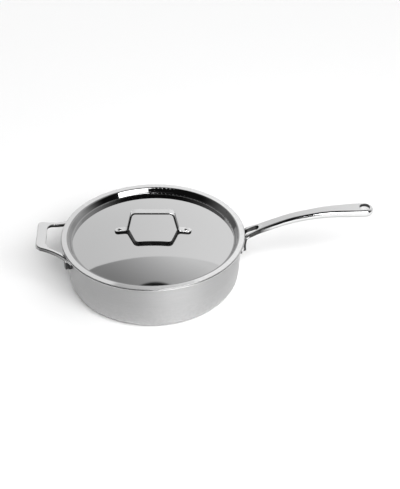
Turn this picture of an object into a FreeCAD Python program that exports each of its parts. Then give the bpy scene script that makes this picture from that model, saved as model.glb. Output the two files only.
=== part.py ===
import FreeCAD, Part
import math
import os
from FreeCAD import Vector

# Saute pan with a recessed lid. The origin is on the table at the centre of the pan's base,
# +Z is up and +X runs out along the long handle. Every size is in millimetres, angles in degrees.

sameSize = 0.001            # two sizes this close count as equal when edges are picked

# Pan: one drawn sheet with a flat base, a barely bellied wall and a lip rolled out flat
panWallRadius = 138.5       # outside of the upright wall
panSheet = 2.5              # thickness of the bonded sheet
panCornerRadius = 17.5      # outside of the bottom corner
panBellyLean = 8.6          # how far the wall leans out just above the corner
panBellyRadius = 220.0      # outside radius of the bellied part of the wall
panHeight = 83.5            # table to the top of the lip
panFlareRadius = 5.0        # underside radius where the wall turns out into the lip
panLipWidth = 7.5           # how far the lip stands out past the wall
panEdgeRound = 1.0          # rounding of the lip's edge
panRimRadius = panWallRadius + panLipWidth

# Lid: thin pressed sheet with a flat flange, a sunk ring wall and a domed middle
lidSheet = 0.9
lidEdgeInset = 1.0          # the flange ends this far inside the lip's edge
lidFlangeBend = 1.65        # flange to ring wall, at the middle of the sheet
lidWallSlope = 63.0         # slope of the ring wall
lidWallLength = 7.5         # straight part of the ring wall
lidTroughBend = 2.6         # ring wall to dome, at the middle of the sheet
lidTroughInset = 8.0        # from the pan's inner wall to where the dome starts
lidDomeSlope = 15.0         # slope of the dome at its edge
lidEdgeRound = 0.3
lidTurn = -3.0              # the lid lies turned by this much in the pan
lidFlangeRadius = panRimRadius - lidEdgeInset
lidDomeEdge = panWallRadius - panSheet - lidTroughInset

# Lid handle: a bent flat strap
lidStrapThickness = 3.0
lidStrapWidth = 12.0
lidHandleRise = 43.8        # lip to the top of the grip bar
lidBarHalf = 26.0           # middle of the bar to the start of its bend
lidBarBend = 8.0            # bar to leg, at the middle of the strap
lidLegSlope = 77.0
lidFootBend = 6.0           # leg to foot, at the middle of the strap
lidFootEnd = 61.0           # middle of the handle to the end of a foot
lidStrapRound = 0.9         # rounding of the strap's long edges
lidRivetSpan = 52.5         # middle of the lid to each rivet
lidHandleTop = panHeight + lidHandleRise

# Long handle: a cast bar whose forked root turns down under the lip. Each station is the middle
# of a rounded section: distance out from the pan's wall, height above the lip, width, thickness
# and corner rounding
longStations = [
    (4.1, -26.0, 37.0, 9.0, 3.4),
    (4.1, -20.5, 37.0, 9.0, 3.4),
    (4.4, -15.5, 35.0, 8.6, 3.2),
    (6.5, -9.5, 31.4, 6.6, 2.9),
    (9.4, -5.2, 28.0, 5.6, 2.6),
    (16.5, -1.2, 25.0, 6.9, 2.7),
    (23.5, 1.6, 22.6, 7.4, 3.0),
    (33.5, 5.6, 20.4, 8.4, 3.4),
    (49.5, 11.7, 19.5, 9.6, 4.0),
    (69.5, 19.0, 19.5, 10.2, 4.3),
    (91.5, 25.2, 19.9, 10.6, 4.5),
    (117.5, 30.0, 20.8, 11.4, 4.7),
    (151.5, 33.3, 23.6, 12.4, 5.0),
    (172.0, 34.0, 26.4, 12.6, 5.0),
    (186.5, 34.1, 27.4, 12.4, 5.0),
]
hangHoleRun = 10.0          # straight and level from the last station to the hanging hole
hangHoleRadius = 8.0
hangHoleRound = 1.0
longSlotEnd = 23.5          # pan's wall to the centre of the fork slot's round end
longSlotHalf = 6.0          # half width of the slot
longSlotSpread = 11.5       # from here inwards the slot widens
longSlotRootHalf = 12.0     # half width of the slot where it ends inside the pan's wall
longSlotOverrun = 5.0       # the slot runs this far inside the wall
longRootRound = 1.5         # rounding of the root's lower end
longPadWidth = 60.0
longPadHeight = 18.0
longPadDrop = 16.5          # lip down to the pad's middle
longRivetDrop = 17.0        # lip down to the rivets
longRivetAngle = 9.6        # each side of the handle, about the pan's axis

# Helper handle: a flat cast loop tilted up away from the pan. Its arms curve outwards towards
# the pan, with a root turned down under each arm and a thin pad reaching inwards from each root
helperPastLip = 37.1        # lip's edge to the outer end of the loop
helperEndRise = 7.5         # lip to the top of the loop's outer end
helperTilt = 14.6
helperThickness = 6.2
helperHalfWidth = 36.0      # half width at the outer end, before its corners
helperArmBend = 76.5        # outer edge of each arm, hollow side outwards
helperArm = 7.0             # width of each arm
helperEndBar = 15.8         # width of the end bar
helperOuterCorner = 10.5
helperInnerCorner = 14.0
helperSpread = 62.0         # half width where the arms run out inside the pan's wall
helperRound = 1.7
helperRootWidth = 9.0
helperRootHeight = 18.0
helperRootDrop = 17.0       # lip down to each root's middle
helperRootThickness = 9.3
helperRootCorner = 3.5
helperRootAngle = 20.2      # each side of the loop, about the pan's axis
helperPadWidth = 36.0
helperPadHeight = 19.0
helperPadDrop = 17.0
helperPadAngle = 16.0
helperRivetDrop = 17.0
helperRivetAngle = 12.0
helperReach = panRimRadius + helperPastLip

# Shared by both handles' pads and all rivets
padThickness = 4.0
padCorner = 7.0
padRound = 1.0
panRivetHead = (4.8, 2.5)   # radius and height of the domed head outside
panRivetTail = (5.8, 1.4)   # radius and height of the flat dome inside
panRivetShank = 2.8
lidRivetHead = (3.6, 1.8)
lidRivetTail = (4.4, 1.2)
lidRivetShank = 2.0
rivetHoleGap = 0.05         # radial gap round a rivet's shank
rivetSeat = 0.4             # depth a head starts below the wall before it is trimmed to it


# Point beside a bent sheet's middle line, square to the direction it runs in
def sidePoint(u, v, angle, offset):
    return Vector(u - offset * math.sin(angle), 0, v + offset * math.cos(angle))


# Where one move ends: a straight line, or a bend of a given radius and turn in degrees
def followMove(u, v, angle, move):
    if move[0] == "line":
        return u + move[1] * math.cos(angle), v + move[1] * math.sin(angle), angle
    radius, turn = move[1], math.radians(move[2])
    side = 1 if turn > 0 else -1
    centreU = u - side * radius * math.sin(angle)
    centreV = v + side * radius * math.cos(angle)
    newAngle = angle + turn
    return (centreU + side * radius * math.sin(newAngle),
            centreV - side * radius * math.cos(newAngle), newAngle)


def chainEnd(start, moves):
    u, v, angle = start[0], start[1], 0.0
    for move in moves:
        u, v, angle = followMove(u, v, angle, move)
    return u, v, angle


# Cross-section face of a sheet whose middle follows lines and bends, starting level
def bentSheet(start, thickness, moves):
    u, v, angle = start[0], start[1], 0.0
    sides = {1: [], -1: []}
    for move in moves:
        endU, endV, endAngle = followMove(u, v, angle, move)
        for side in sides:
            offset = side * thickness / 2
            first = sidePoint(u, v, angle, offset)
            last = sidePoint(endU, endV, endAngle, offset)
            if move[0] == "line":
                sides[side].append(Part.LineSegment(first, last).toShape())
            else:
                halfMove = ("bend", move[1], move[2] / 2)
                middle = sidePoint(*followMove(u, v, angle, halfMove), offset)
                sides[side].append(Part.Arc(first, middle, last).toShape())
        u, v, angle = endU, endV, endAngle
    ends = [Part.LineSegment(sides[1][index].Vertexes[index].Point,
                             sides[-1][index].Vertexes[index].Point).toShape()
            for index in (0, -1)]
    return Part.Face(Part.Wire(Part.__sortEdges__(sides[1] + sides[-1] + ends)))


def revolved(face):
    return face.revolve(Vector(0, 0, 0), Vector(0, 0, 1), 360)


def turned(shape, degrees):
    copy = shape.copy()
    copy.rotate(Vector(0, 0, 0), Vector(0, 0, 1), degrees)
    return copy


def edgesAtRadius(shape, radius):
    curved = [edge for edge in shape.Edges if not edge.Degenerated]
    return [edge for edge in curved
            if hasattr(edge.Curve, "Radius") and abs(edge.Curve.Radius - radius) < sameSize]


def makePan():
    half = panSheet / 2
    corner = [
        ("bend", panCornerRadius - half, 90 - panBellyLean),
        ("bend", panBellyRadius - half, panBellyLean),
    ]
    cornerRun, wallFoot = chainEnd((0, half), corner)[:2]
    flare = panFlareRadius + half
    wallMiddle = panWallRadius - half
    moves = [("line", wallMiddle - cornerRun)] + corner
    moves.append(("line", panHeight - half - flare - wallFoot))
    moves.append(("bend", flare, -90))
    moves.append(("line", panRimRadius - flare - wallMiddle))
    pan = revolved(bentSheet((0, half), panSheet, moves))
    return pan.makeFillet(panEdgeRound, edgesAtRadius(pan, panRimRadius))


# Dome, trough, ring wall and flange, with the height of the dome's middle
def lidMoves():
    domeRadius = lidDomeEdge / math.sin(math.radians(lidDomeSlope))
    moves = [
        ("bend", domeRadius, -lidDomeSlope),
        ("bend", lidTroughBend, lidDomeSlope + lidWallSlope),
        ("line", lidWallLength),
        ("bend", lidFlangeBend, -lidWallSlope),
    ]
    flangeStart, rise = chainEnd((0, 0), moves)[:2]
    moves.append(("line", lidFlangeRadius - flangeStart))
    middleHeight = panHeight + lidSheet / 2 - rise
    return moves, middleHeight, domeRadius


def makeLidShell():
    moves, middleHeight = lidMoves()[:2]
    lid = revolved(bentSheet((0, middleHeight), lidSheet, moves))
    return lid.makeFillet(lidEdgeRound, edgesAtRadius(lid, lidFlangeRadius))


# Height of the dome's top surface and its slope at a distance from the lid's middle
def domeTop(distance):
    middleHeight, domeRadius = lidMoves()[1:]
    outerRadius = domeRadius + lidSheet / 2
    height = middleHeight - domeRadius + math.sqrt(outerRadius ** 2 - distance ** 2)
    return height, math.degrees(math.asin(distance / outerRadius))


# A flat foot can only touch the dome along one line, so the leg is as long as brings it there
def makeLidHandle():
    seatHeight, seatSlope = domeTop(lidRivetSpan)
    half = lidStrapThickness / 2
    start = (0, lidHandleTop - half)
    before = [("line", lidBarHalf), ("bend", lidBarBend, -lidLegSlope)]
    foot = ("bend", lidFootBend, lidLegSlope - seatSlope)
    bareU, bareV, footAngle = chainEnd(start, before + [foot])
    seat = sidePoint(lidRivetSpan, seatHeight, footAngle, half)
    legAngle = math.radians(lidLegSlope)
    across = seat.x - bareU
    down = bareV - seat.z
    fall = math.tan(-footAngle)
    leg = (down - across * fall) / (math.sin(legAngle) - math.cos(legAngle) * fall)
    moves = before + [("line", leg), foot]
    endU = chainEnd(start, moves)[0]
    moves.append(("line", (lidFootEnd + half - endU) / math.cos(footAngle)))
    halfWidth = lidStrapWidth / 2
    side = bentSheet(start, lidStrapThickness, moves).extrude(Vector(0, lidStrapWidth, 0))
    side.translate(Vector(0, -halfWidth, 0))
    outline = Part.makeBox(lidFootEnd - halfWidth, lidStrapWidth, lidHandleTop,
                           Vector(0, -halfWidth, 0))
    footEnd = Part.makeCylinder(halfWidth, lidHandleTop, Vector(lidFootEnd - halfWidth, 0, 0))
    side = side.common(outline.fuse(footEnd))
    strap = side.fuse(turned(side, 180)).removeSplitter()
    longEdges = [edge for edge in strap.Edges
                 if all(abs(abs(vertex.Y) - halfWidth) < sameSize for vertex in edge.Vertexes)
                 and edge.BoundBox.YLength < sameSize
                 and edge.Length > lidStrapThickness + sameSize]
    return turned(strap.makeFillet(lidStrapRound, longEdges), lidTurn)


def stationMiddle(station):
    distance, rise = station[:2]
    return Vector(panWallRadius + distance, 0, panHeight + rise)


# Upward slope at each station, from one smooth curve through all their middles
def stationSlopes():
    middles = [stationMiddle(station) for station in longStations]
    spine = Part.BSplineCurve()
    spine.interpolate(Points=middles, InitialTangent=Vector(0, 0, 1),
                      FinalTangent=Vector(1, 0, 0))
    runs = [spine.tangent(spine.parameter(middle))[0] for middle in middles]
    return [math.atan2(run.z, run.x) for run in runs]


# Closed rounded outline across the long handle at one station
def stationOutline(station, slope):
    width, thickness, rounding = station[2:]
    upward = Vector(-math.sin(slope), 0, math.cos(slope))
    middle = stationMiddle(station)

    def spot(sideways, up):
        return middle + Vector(0, sideways, 0) + upward * up

    edges = []
    corners = [(1, 1), (-1, 1), (-1, -1), (1, -1)]
    arcs = []
    for signY, signZ in corners:
        centreY = signY * (width / 2 - rounding)
        centreZ = signZ * (thickness / 2 - rounding)
        diagonal = rounding / math.sqrt(2)
        beside = spot(centreY + signY * rounding, centreZ)
        between = spot(centreY + signY * diagonal, centreZ + signZ * diagonal)
        above = spot(centreY, centreZ + signZ * rounding)
        order = (beside, between, above) if signY == signZ else (above, between, beside)
        arcs.append(order)
    for index, order in enumerate(arcs):
        edges.append(Part.Arc(*order).toShape())
        nextOrder = arcs[(index + 1) % 4]
        edges.append(Part.LineSegment(order[2], nextOrder[0]).toShape())
    return Part.Wire(edges)


# Plan outline of the gap between the fork's two arms, as an upright cutter
def forkSlot():
    end = panWallRadius + longSlotEnd
    spread = panWallRadius + longSlotSpread
    inner = panWallRadius - longSlotOverrun
    points = [
        Vector(end, longSlotHalf, 0),
        Vector(spread, longSlotHalf, 0),
        Vector(inner, longSlotRootHalf, 0),
        Vector(inner, -longSlotRootHalf, 0),
        Vector(spread, -longSlotHalf, 0),
        Vector(end, -longSlotHalf, 0),
    ]
    edges = [Part.LineSegment(a, b).toShape() for a, b in zip(points, points[1:])]
    tip = Vector(end + longSlotHalf, 0, 0)
    edges.append(Part.Arc(points[-1], tip, points[0]).toShape())
    return Part.Face(Part.Wire(edges)).extrude(Vector(0, 0, 2 * panHeight))


def hangHolePlace():
    return stationMiddle(longStations[-1]) + Vector(hangHoleRun, 0, 0)


# Half of the last section spun half a turn makes the handle's round end
def roundEnd():
    width, thickness, rounding = longStations[-1][2:]
    half = thickness / 2
    outer = width / 2
    diagonal = rounding * (1 - 1 / math.sqrt(2))
    centre = hangHolePlace()
    spots = [Vector(0, 0, half), Vector(0, rounding - outer, half),
             Vector(0, -outer, half - rounding), Vector(0, -outer, rounding - half),
             Vector(0, rounding - outer, -half), Vector(0, 0, -half)]
    spots = [centre + spot for spot in spots]
    upper = centre + Vector(0, diagonal - outer, half - diagonal)
    lower = centre + Vector(0, diagonal - outer, diagonal - half)
    edges = [
        Part.LineSegment(spots[0], spots[1]).toShape(),
        Part.Arc(spots[1], upper, spots[2]).toShape(),
        Part.LineSegment(spots[2], spots[3]).toShape(),
        Part.Arc(spots[3], lower, spots[4]).toShape(),
        Part.LineSegment(spots[4], spots[5]).toShape(),
        Part.LineSegment(spots[5], spots[0]).toShape(),
    ]
    return Part.Face(Part.Wire(edges)).revolve(centre, Vector(0, 0, 1), 180)


# Curved plate lying on the outside of the pan's wall, centred at angle 0
def wallPad(width, height, middle, thickness, corner):
    block = Part.makeBox(thickness + panWallRadius, width, height,
                         Vector(0, -width / 2, middle - height / 2))
    lengthwise = [edge for edge in block.Edges if edge.BoundBox.XLength > panWallRadius]
    block = block.makeFillet(corner, lengthwise)
    ring = Part.makeCylinder(panWallRadius + thickness, 2 * panHeight)
    pad = block.common(ring).cut(Part.makeCylinder(panWallRadius, 2 * panHeight))
    outerFace = max(pad.Faces, key=lambda face: face.CenterOfMass.x)
    return pad.makeFillet(padRound, outerFace.Edges)


def makeLongHandle():
    outlines = [stationOutline(*each) for each in zip(longStations, stationSlopes())]
    bar = Part.makeLoft(outlines, True, False)
    rootHeight = stationMiddle(longStations[0]).z
    rootEdges = [edge for edge in bar.Edges if abs(edge.BoundBox.ZMax - rootHeight) < sameSize]
    bar = bar.makeFillet(longRootRound, rootEdges)
    bar = bar.cut(forkSlot())
    bar = bar.cut(Part.makeCylinder(panWallRadius, 2 * panHeight))
    holePlace = hangHolePlace()
    straight = Part.Face(outlines[-1]).extrude(Vector(hangHoleRun, 0, 0))
    end = straight.fuse(roundEnd()).removeSplitter()
    hole = Part.makeCylinder(hangHoleRadius, 2 * panHeight, Vector(holePlace.x, 0, 0))
    end = end.cut(hole)
    end = end.makeFillet(hangHoleRound, edgesAtRadius(end, hangHoleRadius))
    pad = wallPad(longPadWidth, longPadHeight, panHeight - longPadDrop, padThickness, padCorner)
    return bar.fuse(end).fuse(pad)


# Flat plate from the pan's axis out to reach, narrowed on both sides by a hollow bend
def hollowPlate(reach, bend, corner):
    plate = Part.makeBox(reach, 2 * helperSpread, helperThickness,
                         Vector(0, -helperSpread, -helperThickness))
    for sign in (1, -1):
        centre = Vector(helperReach, sign * (helperHalfWidth + helperArmBend), -helperThickness)
        plate = plate.cut(Part.makeCylinder(bend, helperThickness, centre))
    corners = [edge for edge in plate.Edges if edge.BoundBox.ZLength > helperThickness / 2
               and abs(edge.CenterOfMass.x - reach) < sameSize]
    return plate.makeFillet(corner, corners)


def makeHelperHandle(pan):
    outer = hollowPlate(helperReach, helperArmBend, helperOuterCorner)
    inner = hollowPlate(helperReach - helperEndBar, helperArmBend + helperArm,
                        helperInnerCorner)
    trim = panWallRadius - panSheet
    loop = outer.cut(inner).cut(Part.makeCylinder(trim, 2 * panHeight, Vector(0, 0, -panHeight)))
    trimmed = [edge.hashCode() for edge in edgesAtRadius(loop, trim)]
    loop = loop.makeFillet(helperRound, [edge for edge in loop.Edges
                                         if edge.BoundBox.ZLength < sameSize
                                         and edge.hashCode() not in trimmed])
    loop.rotate(Vector(helperReach, 0, 0), Vector(0, 1, 0), -helperTilt)
    loop.translate(Vector(0, 0, panHeight + helperEndRise))
    loop = loop.cut(Part.makeCylinder(panWallRadius, 2 * panHeight)).cut(turned(pan, 180))
    root = wallPad(helperRootWidth, helperRootHeight, panHeight - helperRootDrop,
                   helperRootThickness, helperRootCorner)
    pad = wallPad(helperPadWidth, helperPadHeight, panHeight - helperPadDrop, padThickness,
                  padCorner)
    for sign in (1, -1):
        loop = loop.fuse(turned(root, sign * helperRootAngle))
        loop = loop.fuse(turned(pad, sign * helperPadAngle))
    return turned(loop, 180)


# Half section of a domed head: the arc from its rim up to the middle, as part of a sphere
def domeArc(radius, base, height):
    sphere = (radius ** 2 + height ** 2) / (2 * abs(height))
    half = math.asin(radius / sphere) / 2
    between = abs(height) - sphere * (1 - math.cos(half))
    return Part.Arc(Vector(radius, 0, base),
                    Vector(sphere * math.sin(half), 0, base + math.copysign(between, height)),
                    Vector(0, 0, base + height)).toShape()


# A rivet along +Z: its joint runs from 0 up to grip, the domed head is on top. Where the wall
# is curved both heads reach into the joint by the seat, to be trimmed to the wall
def makeRivet(head, tail, shank, grip, seat):
    headRadius, headHeight = head
    tailRadius, tailHeight = tail
    corners = [Vector(headRadius, 0, grip), Vector(headRadius, 0, grip - seat),
               Vector(shank, 0, grip - seat), Vector(shank, 0, seat),
               Vector(tailRadius, 0, seat), Vector(tailRadius, 0, 0)]
    edges = [domeArc(headRadius, grip, headHeight), domeArc(tailRadius, 0, -tailHeight)]
    for first, last in zip(corners, corners[1:]):
        if first != last:
            edges.append(Part.LineSegment(first, last).toShape())
    edges.append(Part.LineSegment(Vector(0, 0, -tailHeight),
                                  Vector(0, 0, grip + headHeight)).toShape())
    return revolved(Part.Face(Part.Wire(Part.__sortEdges__(edges))))


# Lays a shape made along +Z against the inside of the pan's wall, pointing outwards
def ontoWall(shape, angle, height):
    placed = shape.copy()
    placed.rotate(Vector(0, 0, 0), Vector(0, 1, 0), 90)
    placed.translate(Vector(panWallRadius - panSheet, 0, height))
    return turned(placed, angle)


# Puts a shape made along +Z onto the lid, square to the dome at a rivet
def ontoLid(shape, sign):
    seatHeight, seatSlope = domeTop(lidRivetSpan)
    placed = shape.copy()
    placed.translate(Vector(0, 0, -lidSheet))
    placed.rotate(Vector(0, 0, 0), Vector(0, 1, 0), seatSlope)
    placed.translate(Vector(lidRivetSpan, 0, seatHeight))
    return turned(placed, lidTurn if sign > 0 else 180 + lidTurn)


def rivetHole(shank, grip):
    return Part.makeCylinder(shank + rivetHoleGap, grip + 2 * rivetSeat,
                             Vector(0, 0, -rivetSeat))


# The two rivets of one handle, their heads trimmed to the wall inside and the pad outside
def panRivets(places):
    grip = panSheet + padThickness
    rivet = ontoWall(makeRivet(panRivetHead, panRivetTail, panRivetShank, grip, rivetSeat), 0, 0)
    joint = Part.makeCylinder(panWallRadius + padThickness, panHeight, Vector(0, 0, -panHeight / 2))
    joint = joint.cut(Part.makeCylinder(panWallRadius - panSheet, panHeight,
                                        Vector(0, 0, -panHeight / 2)))
    joint = turned(joint, 180).cut(ontoWall(rivetHole(panRivetShank, grip), 0, 0))
    rivet = rivet.cut(joint)
    rivets = []
    for angle, height in places:
        copy = turned(rivet, angle)
        copy.translate(Vector(0, 0, height))
        rivets.append(copy)
    return Part.makeCompound(rivets)


# The tail's flat seat meets the hollow side of the dome along its rim, so it sits a hair lower
def lidRivets():
    hollow = lidMoves()[2] - lidSheet / 2
    drop = hollow - math.sqrt(hollow ** 2 - lidRivetTail[0] ** 2)
    rivet = makeRivet(lidRivetHead, lidRivetTail, lidRivetShank,
                      lidSheet + lidStrapThickness + drop, 0)
    rivet.translate(Vector(0, 0, -drop))
    return Part.makeCompound([ontoLid(rivet, sign) for sign in (1, -1)])


longPlaces = [(side * longRivetAngle, panHeight - longRivetDrop) for side in (1, -1)]
helperPlaces = [(180 + side * helperRivetAngle, panHeight - helperRivetDrop)
                for side in (1, -1)]
panHole = rivetHole(panRivetShank, panSheet + padThickness)
lidHole = rivetHole(lidRivetShank, lidSheet + lidStrapThickness)
longHoles = [ontoWall(panHole, *place) for place in longPlaces]
helperHoles = [ontoWall(panHole, *place) for place in helperPlaces]
lidHoles = [ontoLid(lidHole, sign) for sign in (1, -1)]

pan = makePan()

parts = {
    "pan_body": pan.cut(longHoles + helperHoles),
    "long_handle": makeLongHandle().cut(longHoles),
    "long_handle_rivets": panRivets(longPlaces),
    "helper_handle": makeHelperHandle(pan).cut(helperHoles),
    "helper_handle_rivets": panRivets(helperPlaces),
    "lid_shell": makeLidShell().cut(lidHoles),
    "lid_handle": makeLidHandle().cut(lidHoles),
    "lid_handle_rivets": lidRivets(),
}

os.makedirs("parts", exist_ok=True)
for name, shape in parts.items():
    shape.exportStep("parts/" + name + ".step")
    box = shape.BoundBox
    print(name, "solids", len(shape.Solids), "valid", shape.isValid(),
          "volume", round(shape.Volume), "x", round(box.XMin, 1), round(box.XMax, 1),
          "y", round(box.YMin, 1), round(box.YMax, 1), "z", round(box.ZMin, 1), round(box.ZMax, 1))
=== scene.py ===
import math

import bpy
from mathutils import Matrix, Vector

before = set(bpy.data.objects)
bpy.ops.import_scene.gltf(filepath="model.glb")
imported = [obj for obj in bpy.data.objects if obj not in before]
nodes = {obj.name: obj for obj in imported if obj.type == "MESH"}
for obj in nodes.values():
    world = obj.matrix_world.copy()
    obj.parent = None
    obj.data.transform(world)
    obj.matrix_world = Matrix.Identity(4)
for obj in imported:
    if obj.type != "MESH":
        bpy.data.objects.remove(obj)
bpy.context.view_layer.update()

print("frame loaded:", sorted(nodes))


def addNode(tree, kind, place, inputs=None, **settings):
    node = tree.nodes.new(kind)
    node.location = place
    for name, value in settings.items():
        setattr(node, name, value)
    for name, value in (inputs or {}).items():
        if isinstance(value, bpy.types.NodeSocket):
            tree.links.new(value, node.inputs[name])
        else:
            node.inputs[name].default_value = value
    return node


def math2(tree, operation, first, second, place, clamp=False):
    node = addNode(tree, "ShaderNodeMath", place, {0: first, 1: second}, operation=operation)
    node.use_clamp = clamp
    return node.outputs[0]


def multiplyAdd(tree, first, second, third, place):
    values = {0: first, 1: second, 2: third}
    return addNode(tree, "ShaderNodeMath", place, values, operation="MULTIPLY_ADD").outputs[0]


def vectorMath(tree, operation, first, second, place):
    return addNode(tree, "ShaderNodeVectorMath", place, {0: first, 1: second}, operation=operation).outputs


def noise(tree, place, vector, scale, detail, roughness=0.5, distortion=0.0):
    values = {
        "Vector": vector,
        "Scale": scale,
        "Detail": detail,
        "Roughness": roughness,
        "Distortion": distortion,
    }
    return addNode(tree, "ShaderNodeTexNoise", place, values).outputs["Fac"]


# rises from low to high between two values, and start may be the larger one
def mapRange(tree, place, value, start, full, low=0.0, high=1.0, kind="LINEAR"):
    values = {"Value": value, "From Min": start, "From Max": full, "To Min": low, "To Max": high}
    return addNode(tree, "ShaderNodeMapRange", place, values, interpolation_type=kind).outputs[0]


def valueMix(tree, place, factor, first, second):
    values = {"Factor": factor, "A": first, "B": second}
    return addNode(tree, "ShaderNodeMix", place, values, data_type="FLOAT").outputs[0]


def colorMix(tree, place, factor, first, second):
    node = addNode(tree, "ShaderNodeMix", place, data_type="RGBA")
    sockets = [socket for socket in node.inputs if socket.type == "RGBA"]
    for socket, value in ((node.inputs[0], factor), (sockets[0], first), (sockets[1], second)):
        if isinstance(value, bpy.types.NodeSocket):
            tree.links.new(value, socket)
        else:
            socket.default_value = value
    return next(socket for socket in node.outputs if socket.type == "RGBA")


def newGroup(name, inputs, outputs):
    group = bpy.data.node_groups.new(name, "ShaderNodeTree")
    for label, kind, start in inputs:
        socket = group.interface.new_socket(name=label, in_out="INPUT", socket_type=kind)
        if start is not None:
            socket.default_value = start
    for label, kind in outputs:
        group.interface.new_socket(name=label, in_out="OUTPUT", socket_type=kind)
    entry = addNode(group, "NodeGroupInput", (-1400, 0))
    leave = addNode(group, "NodeGroupOutput", (600, 0))
    return group, entry.outputs, leave.inputs


def useGroup(tree, group, place, values):
    return addNode(tree, "ShaderNodeGroup", place, values, node_tree=group).outputs


floatIn = "NodeSocketFloat"
vectorIn = "NodeSocketVector"


# turned grain: coordinates that run round the pan's axis, along its radius and up
def buildTurnedPlace():
    group, start, end = newGroup(
        "turnedPlace",
        [("Vector", vectorIn, None)],
        [("Vector", vectorIn), ("Radius", floatIn), ("Height", floatIn)],
    )
    parts = addNode(group, "ShaderNodeSeparateXYZ", (-1200, 0), {0: start["Vector"]}).outputs
    squareX = math2(group, "MULTIPLY", parts["X"], parts["X"], (-1000, 100))
    squareY = math2(group, "MULTIPLY", parts["Y"], parts["Y"], (-1000, -60))
    squares = math2(group, "ADD", squareX, squareY, (-800, 0))
    radius = math2(group, "SQRT", squares, 0.0, (-620, 0))
    angle = math2(group, "ARCTAN2", parts["Y"], parts["X"], (-1000, -220))
    place = addNode(group, "ShaderNodeCombineXYZ", (-300, 0), {"X": angle, "Y": radius, "Z": parts["Z"]})
    group.links.new(place.outputs[0], end["Vector"])
    group.links.new(radius, end["Radius"])
    group.links.new(parts["Z"], end["Height"])
    return group


# fine lines stretched along one direction, from soft to sharp
grainShape = {
    "broadDetail": 4.0,
    "broadRoughness": 0.6,
    "finer": (3.1, 3.7, 3.4),  # how much tighter the fine lines lie than the broad ones
    "fineDetail": 2.0,
    "fineShare": 0.45,
    "contrast": 3.0,
}


def buildBrushGrain():
    group, start, end = newGroup(
        "brushGrain",
        [("Vector", vectorIn, None), ("Stretch", vectorIn, (1.0, 1.0, 1.0)), ("Sharpness", floatIn, 0.5)],
        [("Grain", floatIn), ("Height", floatIn)],
    )
    stretched = vectorMath(group, "MULTIPLY", start["Vector"], start["Stretch"], (-1200, 0))[0]
    broad = noise(group, (-900, 200), stretched, 1.0, grainShape["broadDetail"], grainShape["broadRoughness"])
    tighter = vectorMath(group, "MULTIPLY", stretched, grainShape["finer"], (-1050, -200))[0]
    fine = noise(group, (-900, -200), tighter, 1.0, grainShape["fineDetail"])
    mixed = valueMix(group, (-600, 0), grainShape["fineShare"], broad, fine)
    centred = math2(group, "SUBTRACT", mixed, 0.5, (-400, 0))
    gain = multiplyAdd(group, start["Sharpness"], grainShape["contrast"], 1.0, (-400, -200))
    raised = math2(group, "MULTIPLY", centred, gain, (-200, 0))
    grain = math2(group, "ADD", raised, 0.5, (0, 0), clamp=True)
    group.links.new(grain, end["Grain"])
    group.links.new(mixed, end["Height"])
    return group


# soft cloudy marks that a wiping cloth and hands leave on polished steel
handlingShape = {
    "detail": 3.0,
    "roughness": 0.55,
    "swirl": 0.6,
    "clean": 0.38,  # cloud value below which nothing shows
    "full": 0.72,
}


def buildHandling():
    group, start, end = newGroup(
        "handling",
        [("Vector", vectorIn, None), ("Size", floatIn, 30.0), ("Amount", floatIn, 0.5)],
        [("Mask", floatIn)],
    )
    shape = handlingShape
    cloud = noise(group, (-900, 100), start["Vector"], start["Size"],
                  shape["detail"], shape["roughness"], shape["swirl"])
    patches = mapRange(group, (-600, 100), cloud, shape["clean"], shape["full"])
    mask = math2(group, "MULTIPLY", patches, start["Amount"], (-200, 0), clamp=True)
    group.links.new(mask, end["Mask"])
    return group


# worn, brighter edges, and darker inside corners. Pointiness is 0.5 where flat
wearShape = {
    "flat": 0.5,
    "edgeFrom": 0.505,
    "cornerFrom": 0.495,
    "patchScale": 220.0,
    "patchDetail": 2.0,
    "patches": (0.3, 0.65),
}


def buildEdgeWear():
    group, start, end = newGroup(
        "edgeWear",
        [("Vector", vectorIn, None), ("Reach", floatIn, 0.02), ("Amount", floatIn, 0.5)],
        [("Edge", floatIn), ("Corner", floatIn)],
    )
    point = addNode(group, "ShaderNodeNewGeometry", (-1200, 0)).outputs["Pointiness"]
    high = math2(group, "ADD", wearShape["flat"], start["Reach"], (-1000, -200))
    low = math2(group, "SUBTRACT", wearShape["flat"], start["Reach"], (-1000, -350))
    edge = mapRange(group, (-700, 100), point, wearShape["edgeFrom"], high)
    corner = mapRange(group, (-700, -200), point, wearShape["cornerFrom"], low)
    patchy = noise(group, (-900, 300), start["Vector"], wearShape["patchScale"], wearShape["patchDetail"])
    broken = mapRange(group, (-700, 320), patchy, *wearShape["patches"])
    brokenEdge = math2(group, "MULTIPLY", edge, broken, (-450, 150))
    wornEdge = math2(group, "MULTIPLY", brokenEdge, start["Amount"], (-250, 150), clamp=True)
    darkerCorner = math2(group, "MULTIPLY", corner, start["Amount"], (-250, -200), clamp=True)
    group.links.new(wornEdge, end["Edge"])
    group.links.new(darkerCorner, end["Corner"])
    return group


# where a surface no longer faces up: 0 while its upward part is at Start, 1 at Full
def buildTurnedAway():
    group, start, end = newGroup(
        "turnedAway",
        [("Start", floatIn, 0.4), ("Full", floatIn, 0.0)],
        [("Mask", floatIn), ("Up", floatIn)],
    )
    normal = addNode(group, "ShaderNodeNewGeometry", (-1200, 0)).outputs["Normal"]
    up = addNode(group, "ShaderNodeSeparateXYZ", (-900, 0), {0: normal}).outputs["Z"]
    mask = mapRange(group, (-600, 0), up, start["Start"], start["Full"])
    group.links.new(mask, end["Mask"])
    group.links.new(up, end["Up"])
    return group


turnedPlace = buildTurnedPlace()
brushGrain = buildBrushGrain()
handling = buildHandling()
edgeWear = buildEdgeWear()
turnedAway = buildTurnedAway()
print("shader groups built")


def steelGrey(value):
    return (value, value, value * 1.003, 1.0)


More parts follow.
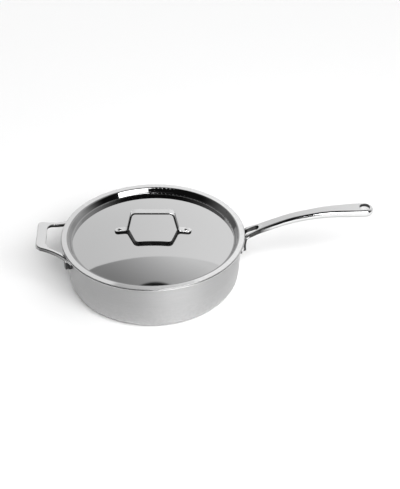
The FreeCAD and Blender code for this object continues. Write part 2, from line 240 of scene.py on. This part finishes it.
# what all the polished steel starts from
polished = {
    "turned": False,
    "grainStretch": (25.0, 2600.0, 2600.0),
    "grainSharpness": 0.3,
    "marksSize": 22.0,
    "marksAmount": 0.6,
    "marksRough": 0.04,
    "wearReach": 0.03,
    "wearAmount": 0.5,
    "darkSteel": steelGrey(0.66),
    "lightSteel": steelGrey(0.74),
    "edgeSteel": steelGrey(0.9),
    "cornerSteel": steelGrey(0.4),
    "roughLow": 0.05,
    "roughHigh": 0.08,
    "grainBump": 0.01,
    "grainDepth": 0.0002,
}


# one finish of steel: its colour, roughness, grain height and, where turned, its place as sockets
def steelFinish(tree, look, top):
    place = addNode(tree, "ShaderNodeTexCoord", (-1500, top)).outputs["Object"]
    turned = None
    along = place
    if look["turned"]:
        turned = useGroup(tree, turnedPlace, (-1250, top), {"Vector": place})
        along = turned["Vector"]
    grain = useGroup(tree, brushGrain, (-950, top + 200), {
        "Vector": along,
        "Stretch": look["grainStretch"],
        "Sharpness": look["grainSharpness"],
    })
    marks = useGroup(tree, handling, (-950, top - 50), {
        "Vector": place,
        "Size": look["marksSize"],
        "Amount": look["marksAmount"],
    })
    wear = useGroup(tree, edgeWear, (-950, top - 300), {
        "Vector": place,
        "Reach": look["wearReach"],
        "Amount": look["wearAmount"],
    })
    # a touch darker in the grain's valleys and inside corners, lighter on worn edges
    grained = colorMix(tree, (-500, top + 300), grain["Grain"], look["darkSteel"], look["lightSteel"])
    worn = colorMix(tree, (-250, top + 300), wear["Edge"], grained, look["edgeSteel"])
    cornerDarkened = colorMix(tree, (0, top + 300), wear["Corner"], worn, look["cornerSteel"])
    # rougher in the grain and under hand marks
    rough = mapRange(tree, (-500, top), grain["Grain"], 0.0, 1.0, look["roughLow"], look["roughHigh"])
    smeared = multiplyAdd(tree, marks["Mask"], look["marksRough"], rough, (-250, top))
    return {"color": cornerDarkened, "rough": smeared, "height": grain["Height"], "turned": turned}


def newMaterial(name):
    material = bpy.data.materials.new(name)
    material.use_nodes = True
    tree = material.node_tree
    tree.nodes.clear()
    shader = addNode(tree, "ShaderNodeBsdfPrincipled", (1700, 0), {"Metallic": 1.0})
    addNode(tree, "ShaderNodeOutputMaterial", (2050, 0), {"Surface": shader.outputs[0]})
    return material, tree, shader


# a bump on the shader, over the one that it may have already
def addBump(tree, shader, place, strength, depth, height):
    values = {"Strength": strength, "Distance": depth, "Height": height}
    for link in shader.inputs["Normal"].links:
        values["Normal"] = link.from_socket
    bump = addNode(tree, "ShaderNodeBump", place, values)
    tree.links.new(bump.outputs[0], shader.inputs["Normal"])


def plainSteel(name, look):
    material, tree, shader = newMaterial(name)
    finish = steelFinish(tree, look, 0)
    tree.links.new(finish["color"], shader.inputs["Base Color"])
    tree.links.new(finish["rough"], shader.inputs["Roughness"])
    addBump(tree, shader, (700, -300), look["grainBump"], look["grainDepth"], finish["height"])
    return material, tree, shader


# two finishes on one piece, changing over along its Radius or Height, with the first one's grain
def twoFinishSteel(name, first, second, measure, start, full):
    material, tree, shader = newMaterial(name)
    low = steelFinish(tree, first, 500)
    high = steelFinish(tree, second, -500)
    measured = low["turned"][measure]
    share = mapRange(tree, (250, 0), measured, start, full)
    color = colorMix(tree, (500, 200), share, low["color"], high["color"])
    rough = valueMix(tree, (500, 0), share, low["rough"], high["rough"])
    tree.links.new(color, shader.inputs["Base Color"])
    tree.links.new(rough, shader.inputs["Roughness"])
    addBump(tree, shader, (700, -300), first["grainBump"], first["grainDepth"], low["height"])
    return material, tree, shader, measured


# lays painted shade, a darker steel colour and, where given, its roughness, over what already feeds a shader,
# where a mask is 1
def paintShadeWhere(tree, shader, column, mask, color, rough=None):
    before = shader.inputs["Base Color"].links[0].from_socket
    mixed = colorMix(tree, (column, 400), mask, before, color)
    tree.links.new(mixed, shader.inputs["Base Color"])
    if rough is not None:
        before = shader.inputs["Roughness"].links[0].from_socket
        mixed = valueMix(tree, (column, 100), mask, before, rough)
        tree.links.new(mixed, shader.inputs["Roughness"])


# painted shade on a piece's edges and underside, where they turn away from up
def paintShadeTurnedAway(tree, shader, paintedShade):
    away = useGroup(tree, turnedAway, (0, -600), {"Start": paintedShade["start"], "Full": paintedShade["full"]})
    paintShadeWhere(tree, shader, 900, away["Mask"], paintedShade["color"], paintedShade["rough"])


def dress(nodeName, material):
    piece = nodes[nodeName]
    for slot in piece.material_slots:
        slot.material = material
    print("dressed", nodeName, "slots", len(piece.material_slots))


# pan: satin brushed round the wall, with a polished lip from the height lipStart on
panLook = {
    "wall": dict(
        polished,
        turned=True,
        grainStretch=(6.0, 1500.0, 1500.0),
        darkSteel=steelGrey(0.42),
        lightSteel=steelGrey(0.52),
        roughLow=0.44,
        roughHigh=0.54,
        grainBump=0.05,
    ),
    "lip": dict(
        polished,
        turned=True,
        darkSteel=steelGrey(0.44),
        lightSteel=steelGrey(0.50),
        roughLow=0.3,
        roughHigh=0.36,
    ),
    "anisotropy": 0.6,
    "spread": 0.25,
    "lipStart": 0.0785,
    "lipFull": 0.0795,
}


def panSteel():
    look = panLook
    material, tree, shader, height = twoFinishSteel(
        "satinPanSteel", look["wall"], look["lip"], "Height", look["lipStart"], look["lipFull"])
    # the brushing runs round the wall, so reflections spread up and down it
    brushed = addNode(tree, "ShaderNodeTangent", (900, -700), direction_type="RADIAL", axis="Z")
    tree.links.new(brushed.outputs[0], shader.inputs["Tangent"])
    shader.inputs["Anisotropic"].default_value = look["anisotropy"]
    shader.inputs["Anisotropic Rotation"].default_value = look["spread"]
    return material


# lid: a fine satin dome inside a ring wall darkened by painted shade, and a bright flange that slopes down a
# little, with a painted shade line on its outer edge.
# Starts and ends are radii
lidLook = {
    "dome": dict(
        polished,
        turned=True,
        grainStretch=(2.0, 2600.0, 2600.0),
        darkSteel=steelGrey(0.60),
        lightSteel=steelGrey(0.63),
        roughLow=0.025,
        roughHigh=0.04,
        grainBump=0.004,
        marksAmount=0.3,
        marksRough=0.02,
        wearAmount=0.0,
    ),
    "flange": dict(
        polished,
        turned=True,
        grainStretch=(2.0, 2600.0, 2600.0),
        darkSteel=steelGrey(0.74),
        lightSteel=steelGrey(0.80),
        roughLow=0.03,
        roughHigh=0.05,
        marksAmount=0.1,
    ),
    "ringWallShade": steelGrey(0.34),
    "ringStart": 0.1275,
    "ringFull": 0.1285,
    "flangeStart": 0.1362,
    "flangeFull": 0.1375,
    "slopeStart": 0.1372,
    "slope": 0.14,
    "edge": {"color": steelGrey(0.5), "rough": 0.3, "start": 0.1444, "full": 0.1447},
}


def lidSteel():
    look = lidLook
    material, tree, shader, radius = twoFinishSteel(
        "polishedLidSteel", look["dome"], look["flange"], "Radius", look["ringStart"], look["ringFull"])
    # painted shade on the ring wall, a darker steel between dome and flange
    inRing = mapRange(tree, (250, -900), radius, look["ringStart"], look["ringFull"])
    offFlange = mapRange(tree, (250, -1150), radius, look["flangeFull"], look["flangeStart"])
    onRingWall = math2(tree, "MULTIPLY", inRing, offFlange, (500, -900))
    paintShadeWhere(tree, shader, 900, onRingWall, look["ringWallShade"])
    # painted shade on the flange's outer edge: a darker, rougher thin line
    edge = look["edge"]
    shadedEdge = mapRange(tree, (250, -1400), radius, edge["start"], edge["full"])
    paintShadeWhere(tree, shader, 1150, shadedEdge, edge["color"], edge["rough"])
    # the flange's slope
    past = math2(tree, "SUBTRACT", radius, look["slopeStart"], (250, -650))
    past = math2(tree, "MAXIMUM", past, 0.0, (400, -650))
    drop = math2(tree, "MULTIPLY", past, -look["slope"], (550, -650))
    addBump(tree, shader, (900, -500), 1.0, 1.0, drop)
    return material


# lid strap: polished on top, with painted shade, near black, on its edges and underneath
strapLook = {
    "steel": dict(polished, roughLow=0.06, roughHigh=0.1),
    "paintedShade": {"color": steelGrey(0.03), "rough": 0.45, "start": 0.4, "full": 0.15},
}


def strapSteel():
    material, tree, shader = plainSteel("polishedLidStrap", strapLook["steel"])
    paintShadeTurnedAway(tree, shader, strapLook["paintedShade"])
    return material


# helper handle: polished on top, with painted shade on its edges and roots
helperLook = {
    "steel": dict(polished),
    "paintedShade": {"color": steelGrey(0.05), "rough": 0.35, "start": 0.35, "full": 0.0},
}


def helperSteel():
    material, tree, shader = plainSteel("polishedHelperHandle", helperLook["steel"])
    paintShadeTurnedAway(tree, shader, helperLook["paintedShade"])
    return material


# long handle: a polished bar, with painted shade inside the fork slot and hanging hole, at the root and,
# lighter, underneath.
# Slot and hole are told by their places along and across the bar, and by sides that face sideways
longHandleLook = {
    "steel": dict(polished),
    "paintedShadeColor": steelGrey(0.06),
    "paintedShadeRough": 0.35,
    "slotEnd": 0.1690,
    "slotFade": 0.1900,
    "slotHalf": 0.0128,
    "holeMiddle": 0.3350,
    "holeRadius": 0.0090,
    "holeShade": 0.1195,  # height from which the hole is dark
    "rootTop": 0.078,
    "sideways": {"start": 0.85, "full": 0.6},
    "under": {"color": steelGrey(0.46), "start": 0.1, "full": -0.25},
    "ease": 0.0006,
}


def longHandleSteel():
    look = longHandleLook
    ease = look["ease"]
    material, tree, shader = plainSteel("polishedLongHandle", look["steel"])
    place = addNode(tree, "ShaderNodeTexCoord", (-500, -900)).outputs["Object"]
    spots = addNode(tree, "ShaderNodeSeparateXYZ", (-250, -900), {0: place}).outputs
    # painted shade, lighter, on faces that turn downwards
    under = look["under"]
    away = useGroup(tree, turnedAway, (0, -600), {"Start": under["start"], "Full": under["full"]})
    paintShadeWhere(tree, shader, 900, away["Mask"], under["color"])
    # sides that face neither up nor down
    level = math2(tree, "ABSOLUTE", away["Up"], 0.0, (250, -800))
    side = mapRange(tree, (400, -800), level, look["sideways"]["start"], look["sideways"]["full"])
    # painted shade between the fork's arms, fading out along the bar
    across = math2(tree, "ABSOLUTE", spots["Y"], 0.0, (0, -1300))
    inSlot = mapRange(tree, (250, -1100), across, look["slotHalf"] + ease, look["slotHalf"])
    nearPan = mapRange(tree, (250, -1350), spots["X"], look["slotFade"], look["slotEnd"])
    inSlot = math2(tree, "MULTIPLY", inSlot, nearPan, (450, -1200))
    # painted shade inside the hanging hole, its upper part only
    along = math2(tree, "SUBTRACT", spots["X"], look["holeMiddle"], (0, -1600))
    alongSquare = math2(tree, "MULTIPLY", along, along, (150, -1600))
    acrossSquare = math2(tree, "MULTIPLY", across, across, (150, -1800))
    squares = math2(tree, "ADD", alongSquare, acrossSquare, (300, -1600))
    fromHole = math2(tree, "SQRT", squares, 0.0, (450, -1600))
    inHole = mapRange(tree, (600, -1600), fromHole, look["holeRadius"] + ease, look["holeRadius"])
    highUp = mapRange(tree, (600, -1850), spots["Z"], look["holeShade"] - ease, look["holeShade"])
    inHole = math2(tree, "MULTIPLY", inHole, highUp, (800, -1600))
    inside = math2(tree, "MAXIMUM", inSlot, inHole, (950, -1300))
    inside = math2(tree, "MULTIPLY", inside, side, (1100, -1300))
    # and painted shade on the root below the lip
    root = mapRange(tree, (950, -1050), spots["Z"], look["rootTop"] + ease, look["rootTop"])
    paintedShadeMask = math2(tree, "MAXIMUM", inside, root, (1250, -1200))
    paintShadeWhere(tree, shader, 1450, paintedShadeMask, look["paintedShadeColor"], look["paintedShadeRough"])
    return material


# rivets: a plainer, slightly dull finish
rivetLook = dict(polished, roughLow=0.10, roughHigh=0.16, grainStretch=(300.0, 300.0, 300.0))
panRivets = plainSteel("panRivetSteel", rivetLook)[0]
lidRivets = plainSteel("lidRivetSteel", rivetLook)[0]

dress("pan_body", panSteel())
dress("lid_shell", lidSteel())
dress("long_handle", longHandleSteel())
dress("helper_handle", helperSteel())
dress("lid_handle", strapSteel())
dress("long_handle_rivets", panRivets)
dress("helper_handle_rivets", panRivets)
dress("lid_handle_rivets", lidRivets)
print("steel dressed")

# floor, a hair below the pan's base
floorLook = {"size": 14.0, "drop": 0.0002, "color": (0.86, 0.86, 0.86, 1.0), "rough": 0.6}
bpy.ops.mesh.primitive_plane_add(size=floorLook["size"], location=(0, 0, -floorLook["drop"]))
floor = bpy.context.object
floor.name = "paleFloor"
floorMaterial = bpy.data.materials.new("paleFloor")
floorMaterial.use_nodes = True
floorShader = floorMaterial.node_tree.nodes["Principled BSDF"]
floorShader.inputs["Base Color"].default_value = floorLook["color"]
floorShader.inputs["Roughness"].default_value = floorLook["rough"]
floor.data.materials.append(floorMaterial)

# studio light: two soft suns and a side light for the floor's shadows, and a softbox in front on the
# right that the polished steel mirrors. Angles are in degrees, lengths in metres
lampLook = {
    "suns": [
        {"azimuth": 30, "elevation": 44, "spread": 38, "strength": 2.3},
        {"azimuth": -8, "elevation": 47, "spread": 22, "strength": 1.4},
    ],
    "sunDistance": 3.0,
    "side": {
        "azimuth": 45,
        "elevation": 42,
        "distance": 1.0,
        "width": 0.6,
        "height": 0.6,
        "radiance": 3.6,
    },
    "softbox": {
        "azimuth": 26,
        "elevation": 36,
        "distance": 2.4,
        "width": 1.68,
        "height": 1.7,
        "radiance": 6.0,
    },
}


# azimuth 0 stands behind the camera, towards -Y, and 90 is on the right
def towards(azimuth, elevation):
    turn = math.radians(azimuth)
    rise = math.radians(elevation)
    return Vector((math.sin(turn) * math.cos(rise), -math.cos(turn) * math.cos(rise), math.sin(rise)))


def addLamp(name, kind, look, distance):
    way = towards(look["azimuth"], look["elevation"])
    data = bpy.data.lights.new(name, kind)
    lamp = bpy.data.objects.new(name, data)
    bpy.context.scene.collection.objects.link(lamp)
    lamp.location = way * distance
    lamp.rotation_euler = way.to_track_quat("Z", "Y").to_euler()
    lamp.visible_camera = False
    return lamp


for number, look in enumerate(lampLook["suns"]):
    sun = addLamp("sun%d" % number, "SUN", look, lampLook["sunDistance"])
    sun.data.angle = math.radians(look["spread"])
    sun.data.energy = look["strength"]
    sun.visible_glossy = False

for name in ("side", "softbox"):
    look = lampLook[name]
    lamp = addLamp(name, "AREA", look, look["distance"])
    lamp.data.shape = "RECTANGLE"
    lamp.data.size = look["width"]
    lamp.data.size_y = look["height"]
    lamp.data.energy = look["radiance"] * math.pi * look["width"] * look["height"]
    lamp.visible_glossy = name == "softbox"
    lamp.visible_diffuse = name == "side"

# room: dark in front, lighter to the right and behind, dark again straight overhead. Its back wall is
# white up to a straight edge, given by two directions, and between two sides
roomLook = {
    "left": 0.28,
    "right": 0.84,
    "front": 0.012,
    "top": 0.35,
    "across": (-0.35, 0.2),
    "behind": (-0.4, 0.5),
    "overhead": (0.777, 1.0),
    "darkTop": (0.9045, 0.9085),
    "wallTop": [(208, 48.3), (151, 47.6)],
    "wallSides": (213, 138),
    "wallLeft": 0.80,
    "wallRight": 1.02,
    "wallAcross": (-0.45, 0.45),
    "topEase": 0.006,
    "leftEase": 0.03,
    "rightEase": 0.1,
    "backdrop": 0.98,
}

world = bpy.data.worlds.new("studio")
bpy.context.scene.world = world
world.use_nodes = True
room = world.node_tree
background = room.nodes["Background"]
direction = addNode(room, "ShaderNodeTexCoord", (-1600, 0)).outputs["Generated"]
sides = addNode(room, "ShaderNodeSeparateXYZ", (-1400, 0), {0: direction}).outputs


def roomRamp(place, value, span, low, high, kind="SMOOTHSTEP"):
    return mapRange(room, place, value, span[0], span[1], low, high, kind)


# how far a direction lies past the plane through two directions of an edge, eased over a little
def pastEdge(row, first, second, ease):
    side = towards(*first).cross(towards(*second)).normalized()
    past = vectorMath(room, "DOT_PRODUCT", direction, side, (-1400, row))["Value"]
    return roomRamp((-1150, row), past, (-ease, ease), 0.0, 1.0)


across = roomRamp((-1150, 600), sides["X"], roomLook["across"], roomLook["left"], roomLook["right"])
behind = roomRamp((-1150, 350), sides["Y"], roomLook["behind"], 0.0, 1.0)
overhead = roomRamp((-1150, 100), sides["Z"], roomLook["overhead"], 1.0, roomLook["top"], "LINEAR")
darkTop = roomRamp((-1150, -150), sides["Z"], roomLook["darkTop"], 1.0, 0.0, "LINEAR")
roomLight = math2(room, "MULTIPLY", across, behind, (-900, 400))
roomLight = math2(room, "MULTIPLY", roomLight, overhead, (-750, 300))
roomLight = math2(room, "MULTIPLY", roomLight, darkTop, (-600, 200))
roomLight = math2(room, "ADD", roomLight, roomLook["front"], (-450, 100))

# the white wall: above its top edge and between its two upright sides
low = 0
high = 40
leftSide, rightSide = roomLook["wallSides"]
pastTop = pastEdge(-400, *roomLook["wallTop"], roomLook["topEase"])
pastLeft = pastEdge(-650, (leftSide, low), (leftSide, high), roomLook["leftEase"])
pastRight = pastEdge(-900, (rightSide, high), (rightSide, low), roomLook["rightEase"])
wallMask = math2(room, "MULTIPLY", pastTop, pastLeft, (-900, -500))
wallMask = math2(room, "MULTIPLY", wallMask, pastRight, (-700, -600))
wallLight = roomRamp(
    (-1150, -1150), sides["X"], roomLook["wallAcross"], roomLook["wallLeft"], roomLook["wallRight"])
lit = valueMix(room, (-250, 0), wallMask, roomLight, wallLight)
seen = addNode(room, "ShaderNodeLightPath", (-250, 400)).outputs["Is Camera Ray"]
shown = valueMix(room, (-50, 0), seen, lit, roomLook["backdrop"])
room.links.new(shown, background.inputs["Strength"])
background.inputs["Color"].default_value = (1.0, 1.0, 1.0, 1.0)

# camera
cameraLook = {
    "lens": 80.98,
    "sensorHeight": 36.0,
    "place": (-0.00054, -1.4307, 1.08815),
    "turn": (54.34, 0.0, -3.0),
    "nearest": 0.05,
    "farthest": 50,
}
cameraData = bpy.data.cameras.new("camera")
cameraData.lens = cameraLook["lens"]
cameraData.sensor_fit = "VERTICAL"
cameraData.sensor_height = cameraLook["sensorHeight"]
cameraData.clip_start = cameraLook["nearest"]
cameraData.clip_end = cameraLook["farthest"]
camera = bpy.data.objects.new("camera", cameraData)
bpy.context.scene.collection.objects.link(camera)
camera.location = cameraLook["place"]
camera.rotation_euler = [math.radians(v) for v in cameraLook["turn"]]
bpy.context.scene.camera = camera
bpy.context.scene.view_settings.view_transform = "Standard"
bpy.context.scene.view_settings.look = "None"
print("floor, light and camera set")
